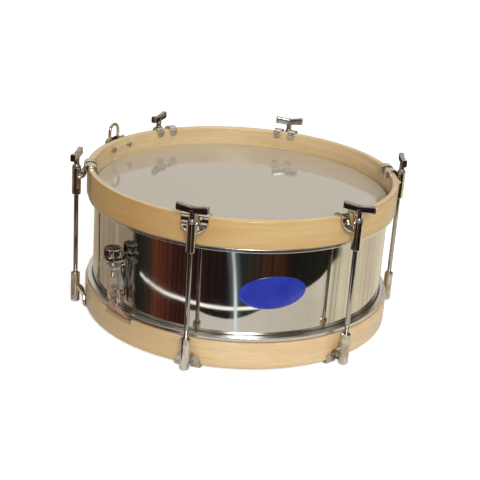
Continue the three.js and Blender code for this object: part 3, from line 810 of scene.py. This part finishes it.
def bent_sheet(outline, width, across=0):
    """Sheet metal bent along an outline of (reach, height) points."""
    return prism([(across - width / 2, -reach, height) for reach, height in outline], (width, 0, 0))


def outward(form, reach, height, across=0):
    """Lays a form that was drawn upright so that it points outward from the drum's axis."""
    return laid(form, Matrix.Translation((across, -reach, height)) @ turning(90, "X"))


def bolted(form, reach, *heights, across=0):
    """Makes holes for small screws in a plate."""
    for height in heights:
        carved(form, outward(pin(screw_bore, -drill_half, drill_half), reach, height, across))
    return form


def pan_screw(head_radius, length):
    """Domed head with a cross recess, on a threaded shank."""
    crown = [(head_radius * cos(t), head_rim + (screw_head - head_rim) * sin(t))
        for t in (0, 0.3, 0.6, 0.9, 1.2)]
    form = turned([(0, -length), (small_screw - shank_point, -length),
        *[(small_screw, z) for z in rows(shank_point - length, -shank_neck, shank_pitch / 5)],
        (small_screw, 0), (head_radius - head_round, 0), (head_radius, head_round), *crown,
        (0, screw_head)], 24)
    thread(form, shank_point - length, -shank_neck, small_screw, shank_pitch, shank_cut)
    wide, long = recess_half, recess_share * head_radius
    quarter = [(long, wide), (wide, wide), (wide, long)]
    turns = ((1, 0), (0, 1), (-1, 0), (0, -1))
    points = [(c * x - s * y, s * x + c * y) for c, s in turns for x, y in quarter]
    return carved(form, prism([(x, y, recess_floor) for x, y in points], (0, 0, screw_head)))


def hex_nut():
    """Six-sided nut with chamfered corners."""
    flat = nut_corner * cos(pi / 6)
    form = turned([(nut_bore, nut_bore_chamfer), (nut_bore + nut_bore_chamfer, 0), (flat, 0),
        (nut_corner, nut_chamfer), (nut_corner, nut_height - nut_chamfer), (flat, nut_height),
        (nut_bore + nut_bore_chamfer, nut_height), (nut_bore, nut_height - nut_bore_chamfer)], 36)

    def share(reach, turn, z):
        corner = (degrees(turn) + 390) % 60 - 30
        return min(1, flat / cos(radians(corner)) / reach)

    return pressed(form, share)


def fitting(name, form, node, angle, body="drum", finish=chrome, sharp=30):
    fitted(finished(name, form, finish, angle, 0, sharp), node, body)


def bolt(place, node, angle, head_radius, base, length, nut, height, across=0, body="drum"):
    """A screw and its nut. The node's name has a gap for which of the two it is."""
    fitting(f"{place}_pan_screw", outward(pan_screw(head_radius, length), base, height, across),
        node.format("screw"), angle, body)
    fitting(f"{place}_hex_nut", outward(hex_nut(), nut, height, across), node.format("nut"), angle, body)


def wall_bolts(piece, node, angle, heights):
    for number, height in enumerate(heights, 1):
        bolt(f"{piece}_{number}", f"{node}_{{}}_{number}", angle, small_head, bracket_face + clearance,
            wall_bolt, wall_nut, height)


def on_screw(form):
    return moved(form, 0, -screw_reach, 0)


ear_corner = (bracket_back + sheet_bend, ear_high - sheet_bend)
bracket = bent_sheet([(bracket_face, bracket_low), (bracket_face, ear_high - sheet),
    (ear_reach, ear_high - sheet), (ear_reach, ear_high), *arc(ear_corner, sheet_bend, 90, 180, 5),
    (bracket_back, bracket_low)], bracket_width)
carved(bracket, on_screw(pin(ear_bore, drill_low, drill_high)))
bolted(bracket, bracket_face, *strainer_screws)
fitting("strainer_plate", softened(bracket), "strainer_bracket", strainer_angle)
wall_bolts("strainer_plate", "strainer", strainer_angle, strainer_screws)

knob_face = knob_low + boss_height
knob = turned([(0, knob_socket_high), (knob_socket, knob_socket_high), (knob_socket, knob_low),
    (knob_boss, knob_low), (knob_boss, knob_face), (knob_radius - knob_chamfer, knob_face),
    (knob_radius, knob_face + knob_chamfer), *[(knob_radius, z) for z in knob_rows],
    *arc((knob_radius - knob_round, knob_high - knob_round), knob_round, 0, 90, 4),
    (dish_radius, knob_high), (dish_radius - dish_slope, knob_high - dish_depth),
    (0, knob_high - dish_depth)], 120)


def flute(reach, turn, z):
    if reach <= knob_radius - flute_band:
        return 1
    return 1 - flute_depth * (1 - cos(knob_flutes * turn)) / knob_radius


fitting("ribbed_knob", on_screw(pressed(knob, flute)), "strainer_knob", strainer_angle, "strainer_adjuster",
    dark, 40)

spindle_start = spindle_low + spindle_chamfer
spindle_point = spindle_radius - spindle_chamfer
spindle = turned([(0, spindle_low), (spindle_point, spindle_low),
    *[(spindle_radius, z) for z in rows(spindle_start, spindle_thread_high, spindle_pitch / 5)],
    (spindle_radius, collar_low), (spindle_collar, collar_low), (spindle_collar, collar_high),
    (spindle_radius, collar_high), (spindle_radius, spindle_high - spindle_chamfer),
    (spindle_point, spindle_high), (0, spindle_high)], 24)
thread(spindle, spindle_start, spindle_thread_high, spindle_radius, spindle_pitch, thread_cut)
fitting("threaded_spindle", on_screw(spindle), "strainer_adjusting_screw", strainer_angle,
    "strainer_adjuster")

tongue = bent_sheet([(tongue_back, carriage_low), (tongue_face, carriage_low), (tongue_face, tab_low),
    (tab_reach, tab_low), (tab_reach, tab_high), (tongue_face, tab_high), (tongue_face, carriage_high),
    (tongue_back, carriage_high)], carriage_width)
carved(tongue, on_screw(pin(tab_bore, drill_low, tab_drill_high)))
bolted(tongue, tongue_face, clamp_height)
guide = [(tongue_back - guide_overlap, guide_high), (guide_reach, guide_low),
    (tongue_back - guide_overlap, guide_low)]
guides = [bent_sheet(guide, sheet, side * guide_across) for side in (-1, 1)]

zinc = Finish("zinc_plate", {"Metallic": 1.0})
spangle = zinc.grain(90, 3)
zinc.tint(spangle, (0.80, 0.84, 0.85), (0.68, 0.72, 0.73))
zinc.feed("Roughness", 0.32 + 0.12 * spangle)
zinc.relief(spangle, 0.00002)
fitting("carriage_plate", softened(gathered(tongue, *guides)), "strainer_carriage", strainer_angle,
    "strainer_slider", zinc)


def clamp(place, angle, body):
    """The plate and bolt that press the strands' ends on the tongue."""
    plate = rounded_plate(carriage_width, clamp_low, clamp_high, clamp_corner, clamp_back, clamp_face)
    bolted(plate, clamp_face, clamp_height)
    fitting(f"{place}_clamp_bar", softened(plate), f"{place}_clamp_plate", angle, body)
    bolt(f"{place}_clamp", f"{place}_clamp_{{}}", angle, clamp_head, clamp_face + clearance, clamp_bolt,
        clamp_nut, clamp_height, body=body)


clamp("strainer", strainer_angle, "strainer_slider")

# Butt plate: a sheet bracket opposite the strainer, stepped out over the hoop. The same clamp bar
# and bolt hold the strands' other ends still.

butt_high = 98
butt_step = 70
step_bend = 0.75

butt = bent_sheet([(bracket_back, butt_high), (bracket_back, butt_step - sheet),
    (tongue_back, butt_step - sheet), (tongue_back, carriage_low), (tongue_face, carriage_low),
    *arc((tongue_face - step_bend, butt_step - step_bend), step_bend, 0, 90, 3), (bracket_face, butt_step),
    (bracket_face, butt_high)], bracket_width)
bolted(butt, bracket_face, *butt_screws)
bolted(butt, tongue_face, clamp_height)
fitting("butt_sheet", softened(butt), "butt_bracket", butt_angle)
wall_bolts("butt_sheet", "butt", butt_angle, butt_screws)
clamp("butt", butt_angle, "drum")

# Snare strands: ten two-ply cords, waxed, held taut across the lower film. They fan out from a
# stitched end bar at each clamp, pass the hoop's gate, turn over the shell's edge and run to the
# other side.

strand_count = 10
strand_thick = 1.1
strand_pitch = 1.35
strand_spread = 4.8
bolt_room = 2.9
strand_reach = 189.4
strand_end = 64.4
strand_free = 46
hoop_corner_reach, hoop_corner_height = 186.15, 34.95
edge_reach, edge_height, edge_turn = 173.8, 36.2, 5.65
ramp_reach, ramp_height = 141.8, 25.55
ply_turn = 6
ply_sides = 10
ply_waist = 0.22
strand_step = 1
stop_low, stop_high = 63.1, 65.7
stop_near, stop_far = 188.7, 190.1
stop_corner, stop_bevel = 0.5, 0.3

cord = Finish("waxed_cord", {"Roughness": 0.6, "Sheen Weight": 0.2})
fibre = cord.grain((300, 300, 900), 3)
cord.tint(fibre.between(0.3, 0.7), (0.60, 0.32, 0.27), (0.42, 0.17, 0.14))
cord.relief(fibre, 0.0001)


def strand_route(number):
    """Points of one strand from the clamp to the far side, along and across the drum."""
    place = number - (strand_count - 1) / 2
    side = 1 if place > 0 else -1
    held = side * bolt_room + (place - side / 2) * strand_pitch
    wide = place * strand_spread
    half = [(held, strand_reach, strand_end), (held, strand_reach, strand_free),
        (wide, hoop_corner_reach, hoop_corner_height)]
    half += [(wide, edge_reach + edge_turn * cos(radians(t)), edge_height + edge_turn * sin(radians(t)))
        for t in (-35, -50, -65, -80, -90)]
    half.append((wide, ramp_reach, ramp_height))
    near = [(x, -sqrt(max(reach * reach - x * x, 0)) if i > 1 else -reach, z)
        for i, (x, reach, z) in enumerate(half)]
    far = sorted([(x, -y, z) for x, y, z in near[2:]], key=lambda p: p[1])
    ends = [(held, strand_reach, strand_free), (held, strand_reach, strand_end)]
    return [Vector(p) for p in near + far + ends]


def cord_along(points, radius, step):
    """Sweeps a two-ply section along a route, turning it as it goes."""
    section = bpy.data.curves.new("section", "CURVE")
    loop = section.splines.new("POLY")
    loop.points.add(ply_sides - 1)
    loop.use_cyclic_u = True
    for i, point in enumerate(loop.points):
        turn = tau * i / ply_sides
        swell = radius * (1 - ply_waist + ply_waist * cos(2 * turn))
        point.co = (swell * cos(turn), swell * sin(turn), 0, 1)
    route = bpy.data.curves.new("route", "CURVE")
    route.dimensions = "3D"
    route.use_fill_caps = True
    route.bevel_mode = "OBJECT"
    ring = linked("section", section)
    route.bevel_object = ring
    path = [points[0]]
    for end in points[1:]:
        start = path[-1]
        count = max(1, round((end - start).length / step))
        path += [start.lerp(end, i / count) for i in range(1, count + 1)]
    spline = route.splines.new("POLY")
    spline.points.add(len(path) - 1)
    for i, (point, place) in enumerate(zip(spline.points, path)):
        point.co = (*place, 1)
        point.tilt = tau * step * i / ply_turn
    line = linked("route", route)
    made = line.evaluated_get(bpy.context.evaluated_depsgraph_get())
    form = bmesh.new()
    form.from_mesh(made.to_mesh())
    made.to_mesh_clear()
    for thing in (line, ring):
        bpy.data.objects.remove(thing)
    ops.remove_doubles(form, verts=form.verts, dist=0.0001)
    return form


strands = [cord_along(strand_route(i), strand_thick / 2, strand_step) for i in range(strand_count)]
for turn in (0, 180):
    stop = rotated(rounded_plate(carriage_width, stop_low, stop_high, stop_corner, stop_near, stop_far), turn)
    strands.append(softened(stop, stop_bevel))
fitted(finished("twisted_snares", gathered(*strands), cord, strainer_angle, 0, 60), "snare_strands")

# Strap loop: a bent wire bow for a sling's hook. A pressed plate with a raised middle, screwed
# through the upper hoop, holds its legs.

wire_radius = 1.9
wire_reach = 189.1
leg_apart = 8.9
leg_low = 163.1
bow_height = 187.8
plate_low = 159.1
plate_height = 20
plate_screw_reach = 188
loop_bolt_base, loop_bolt, loop_nut = 188.67, 15.26, 174.41
hat_profile = [(11.1, 191.3), (11.1, 186.77), (20.3, 186.77), (20.3, 188.37), (12.7, 188.37), (12.7, 192.1),
    (11.9, 192.9)]

bow = bmesh.new()
ops.create_circle(bow, cap_ends=True, segments=20, radius=wire_radius,
    matrix=Matrix.Translation((-leg_apart, -wire_reach, leg_low)))
leg = pushed_on(bow, list(bow.faces), (0, 0, bow_height - leg_low))
arch = ops.spin(bow, geom=leg, cent=(0, -wire_reach, bow_height), axis=(0, 1, 0), angle=pi, steps=24)
second = only(BMFace, arch["geom_last"])
pushed_on(bow, second, (0, 0, leg_low - bow_height))
ops.delete(bow, geom=leg + second, context="FACES_ONLY")
fitting("wire_bow", softened(bow, 0.3, 60), "strap_loop", loop_angle)

hat = prism([(x, -reach, plate_low) for x, reach in hat_profile]
    + [(-x, -reach, plate_low) for x, reach in reversed(hat_profile)], (0, 0, plate_height))
for side in loop_screws:
    bolted(hat, plate_screw_reach, loop_screw_height, across=side)
fitting("pressed_clamp", softened(hat, 0.4), "strap_loop_clamp", loop_angle)
for number, side in enumerate(loop_screws, 1):
    bolt(f"strap_loop_{number}", f"strap_loop_{{}}_{number}", loop_angle, small_head, loop_bolt_base,
        loop_bolt, loop_nut, loop_screw_height, side)

# Badge: blue oval foil, stuck on the front of the shell a little askew. It is bare.

badge_angle = 2.6
badge_height = 92
badge_half = (38, 19)
badge_thick = 0.3
badge_gap = 0.05
badge_tilt = atan(5 / 76)
badge_rings = 12
badge_rim, rim_thick = 0.99, 0.7 * badge_thick

foil = Finish("blue_foil", {"Coat Weight": 0.6, "Coat Roughness": 0.05})
ink = foil.grain(60, 4)
foil.tint(ink.between(0.3, 0.7), (0.014, 0.026, 0.31), (0.018, 0.037, 0.37))
foil.feed("Roughness", 0.18 + 0.12 * ink)
foil.relief(ink, 0.00003)

shares = [i / badge_rings for i in range(badge_rings + 1)]
form = turned([(share, badge_thick) for share in shares[:-1]]
    + [(badge_rim, badge_thick), (1, rim_thick)] + [(share, 0) for share in reversed(shares)], 96)
for vert in form.verts:
    x, y = badge_half[0] * vert.co.x, badge_half[1] * vert.co.y
    along = x * cos(badge_tilt) - y * sin(badge_tilt)
    up = x * sin(badge_tilt) + y * cos(badge_tilt)
    reach, turn = shell_radius + badge_gap + vert.co.z, along / shell_radius
    vert.co = (reach * sin(turn), -reach * cos(turn), up)
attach(finished("oval_badge", form, foil, badge_angle, badge_height, 50), "drum")

# Studio: pale floor and soft light. Cards that only reflections see stand for the room round the drum: the
# light table top, its bright rim, and the dark, warm room beyond it to the front. They glow though they are
# no lamps, so they are painted reflections on the metal, film and wood, laid out round the middle of the
# picture.

floor_reach = 9000
floor_drop = 0.3
card_lift = 0.5
card_start, card_end, card_thick = 212, 3900, 0.2
dome_radius = 4000
camera_bearing = -10.8
key_place = (-0.1, -2.5, 1.5)

form = bmesh.new()
ops.create_circle(form, cap_ends=True, segments=96, radius=floor_reach)
ground = Finish("pale_floor", {"Base Color": (0.8, 0.8, 0.79), "Roughness": 0.9, "Emission Strength": 1})
seen = ground.node("LightPath", output="Is Camera Ray")
away = ground.vector("LENGTH", ground.place())
# The floor glows for the camera so that it looks white. The glow fades out under the drum, which paints a
# shadow there.
floor_glow_and_painted_shadow = seen * (away.between(0.15, 0.186, 0, 0.6) + away.between(0.5, 2.5, 0, 0.35))
ground.feed("Emission Color", ground.mix(floor_glow_and_painted_shadow, (0, 0, 0), (1, 1, 1)))
finished("floor", form, ground, lift=-floor_drop)


def by_facing(card, facing, stops, smooth="LINEAR"):
    """Ramp whose stops stand at degrees round the shell from the middle of the picture."""
    stops = [(turn / 180 + 0.5, tone if len(tone) == 3 else tone * 3) for turn, *tone in stops]
    return card.node("ValToRGB", [facing * (1 / 180) + 0.5], between_stops=smooth, stops=stops)


def room_card(name):
    """Colours of the room round the drum, by the place on the shell that shows each direction."""
    card = Finish(name, {"Base Color": (0, 0, 0), "Roughness": 1, "Specular IOR Level": 0,
        "Emission Strength": 1})
    place = card.node("Mapping", {"Vector": card.place(), "Rotation": (0, 0, radians(-camera_bearing))})
    x, y = card.along("X", place), card.along("Y", place)
    radius = shell_radius * millimetre
    turn = guess = 0.5 * x.maths("ARCTAN2", x, 0 - y - radius / 2)
    guessed = (guess * (180 / pi)).size()
    behind = guessed.between(66, 78)
    for repeat in range(4):
        mirrored = x.maths("ARCTAN2", x - radius * turn.maths("SINE", turn),
            0 - y - radius * turn.maths("COSINE", turn))
        turn = 0.45 * turn + 0.275 * mirrored
    turn = guess + guessed.between(60, 68, 1, 0) * (turn - guess)
    double = 2 * turn
    spoke = card.node("CombineXYZ", [turn.maths("SINE", double), turn.maths("COSINE", double)])

    def streaks(count):
        return card.grain(None, 3, 0.65, card.vector("MULTIPLY", spoke, (count, count, 0)))

    facing = turn * (180 / pi)
    fine, broad = streaks(26), streaks(5)
    dark_side = by_facing(card, facing, [(-90, 0.05, 0.03, 0.02), (-42, 0.028, 0.03, 0.028),
        (-36.5, 0.036, 0.034, 0.028), (-33.5, 0.10, 0.05, 0.032), (-31.5, 0.25, 0.075, 0.036),
        (-29, 0.14, 0.04, 0.022), (-24, 0.085, 0.026, 0.018), (-17, 0.05, 0.018, 0.016),
        (-5, 0.022, 0.014, 0.014), (2, 0.024, 0.036, 0.038), (10, 0.075, 0.036, 0.021),
        (16, 0.08, 0.03, 0.018), (21, 0.018, 0.018, 0.013), (40, 0.025, 0.024, 0.017),
        (90, 0.05, 0.03, 0.02)])
    dark_side = card.mix(0.9 * fine.between(0.42, 0.7), dark_side, (0.012, 0.008, 0.008))
    pale = by_facing(card, facing, [(-90, 0.74, 0.66, 0.53), (-68, 0.46, 0.37, 0.26),
        (-50, 0.40, 0.30, 0.20), (-38, 0.46, 0.37, 0.27), (-16, 0.80, 0.75, 0.68), (5, 0.85, 0.80, 0.73),
        (30, 0.82, 0.76, 0.65), (43, 0.97, 0.91, 0.68), (60, 0.90, 0.78, 0.60), (90, 0.74, 0.66, 0.53)])
    sides = (facing.between(24, 42) + facing.between(-48, -43, 1, 0)) * guessed.between(55, 62, 1, 0)
    pale = card.mix(sides * fine.between(0.45, 0.7) * 0.8, pale, (0.30, 0.23, 0.15))
    pale = card.mix(sides * broad.between(0.55, 0.75) * 0.35, pale, (1.0, 0.97, 0.88))
    dark_side = card.mix(behind, dark_side, (0.045, 0.037, 0.03))
    pale = card.mix(behind, pale, (0.72, 0.665, 0.57))
    return card, facing, behind, dark_side, pale


table, facing, behind, dark_side, pale = room_card("table_in_reflections")
reach = table.from_axis()
rim = by_facing(table, facing, [(-90, 0.43), (-60, 0.42), (-45, 0.39), (-37.4, 0.357), (-34.5, 0.345),
    (-32, 0.3375), (-26.4, 0.3305), (-19.6, 0.327), (-12, 0.322), (0, 0.322), (10.6, 0.330), (12.4, 0.331),
    (20, 0.355), (26.4, 0.381), (29.6, 0.397), (34.3, 0.431), (37.5, 0.470), (40.6, 0.503), (60, 0.50),
    (90, 0.43)], "CARDINAL")
band = by_facing(table, facing, [(-90, 0.0), (-43, 0.0), (-42, 0.2), (-19, 0.2), (-17.4, 0.03),
    (-13, 0.0235), (-8, 0.031), (-3, 0.0345), (1, 0.0325), (5, 0.0255), (9, 0.013), (12.4, 0.0), (90, 0.0)])
front = facing.between(-44, -41.5) * facing.between(39, 43, 1, 0)
shade = (reach - rim + band).between(-0.002, 0.003) * (front + behind)
around = table.mix(shade, pale, dark_side)
edge_light = (reach - rim).size().between(0.002, 0.009, 1, 0)
edge_light = edge_light * facing.between(-39.5, -38.3) * facing.between(8, 12, 1, 0)
around = table.mix(edge_light, around, (1.65, 1.66, 1.55))
# Painted highlight: a thin blue-white glare line on the card, which shows as an upright streak down the
# shell.
glare = (facing - 2.96 + 7.5 * reach).size()
core = glare.between(0.15, 0.9, 1, 0) * reach.between(0.30, 0.52, 0.95, 0.5)
glare = core + 0.14 * glare.between(0.4, 3, 1, 0)
table.feed("Emission Color", table.mix(glare, around, (1.0, 1.12, 1.2)))
form = turned([(card_start, 0), (card_end, 0), (card_end, -card_thick), (card_start, -card_thick)], 128)
table_card = finished("table_card", form, table, lift=card_lift)

dome, facing, behind, dark_side, pale = room_card("room_in_reflections")
sphere = dome_radius * millimetre
height = dome.along("Z") * (1 / sphere)
patches = dome.grain((0.55, 0.55, 0.8), 3)
wall = dome.mix(behind + (1 - behind) * patches.between(0.45, 0.6), dark_side, pale)
upper = dome.mix(behind + (1 - behind) * patches.between(0.5, 0.62), (0.10, 0.07, 0.05), (0.75, 0.70, 0.62))
around = dome.mix(height.between(0.25, 0.4), wall, upper)
around = dome.mix(height.between(0.80, 0.90), around, (1.0, 1.0, 1.0))
# Painted glint: the dome is bright in the key lamp's direction, standing in for the lamp, which reflections
# don't see.
toward_key = dome.vector("DOT_PRODUCT", dome.place(), Vector(key_place).normalized() / sphere)
around = dome.mix(toward_key.between(0.955, 0.995), around, (3.0, 3.0, 2.9))
around = dome.mix(toward_key.between(0.988, 0.995), around, (18, 18, 18))
dome.feed("Emission Color", around)
form = bmesh.new()
ops.create_uvsphere(form, u_segments=64, v_segments=32, radius=dome_radius)
ops.bisect_plane(form, geom=[*form.verts, *form.edges, *form.faces], plane_co=(0, 0, 1), plane_no=(0, 0, 1),
    clear_inner=True)
room_dome = finished("room_dome", form, dome)
for screen in (table_card, room_dome):
    screen.visible_camera = screen.visible_diffuse = screen.visible_shadow = False
    screen.visible_transmission = False

world = bpy.data.worlds.new("studio_air")
bpy.context.scene.world = world
world.use_nodes = True
air = Nodes(world.node_tree)
toward_back = air.along("Y", air.node("TexCoord", output="Generated"))
strength = air.node("MapRange", {"Value": toward_back, "From Min": -0.9, "From Max": 0.3, "To Min": 0.6,
    "To Max": 0.3})
light_air = air.node("Background", {"Color": (1, 1, 1), "Strength": strength})
seen_air = air.node("Background", {"Color": (1, 1, 1)})
seen = air.node("LightPath", output="Is Camera Ray")
for rays in ("Is Glossy Ray", "Is Transmission Ray"):
    seen = seen.maths("MAXIMUM", seen, air.node("LightPath", output=rays))
choice = air.node("MixShader", [seen, light_air, seen_air])
air.tree.links.new(choice.socket, air.tree.nodes["World Output"].inputs["Surface"])

for name, place, size, power in (("key", key_place, 0.8, 46), ("fill", (1.0, 0.6, 2.5), 1.4, 12)):
    lamp = bpy.data.lights.new(name, "AREA")
    lamp.shape = "DISK"
    lamp.size = size
    lamp.energy = power
    light = linked(name, lamp)
    light.location = place
    light.visible_glossy = False
    light.rotation_euler = (Vector((0, 0, 0.1)) - Vector(place)).to_track_quat("-Z", "Y").to_euler()

camera_place = (-0.2346, -1.2261, 0.5659)
camera_look = (0.1766, 0.9160, -0.36)
camera_roll = 4.01
camera_data = bpy.data.cameras.new("camera")
camera_data.lens = 81.14
camera_data.sensor_width = 36
camera = linked("camera", camera_data)
bpy.context.scene.camera = camera
aim = Vector(camera_look).to_track_quat("-Z", "Y").to_matrix().to_4x4()
camera.matrix_world = Matrix.Translation(camera_place) @ aim @ turning(camera_roll)
bpy.context.scene.view_settings.view_transform = "Standard"
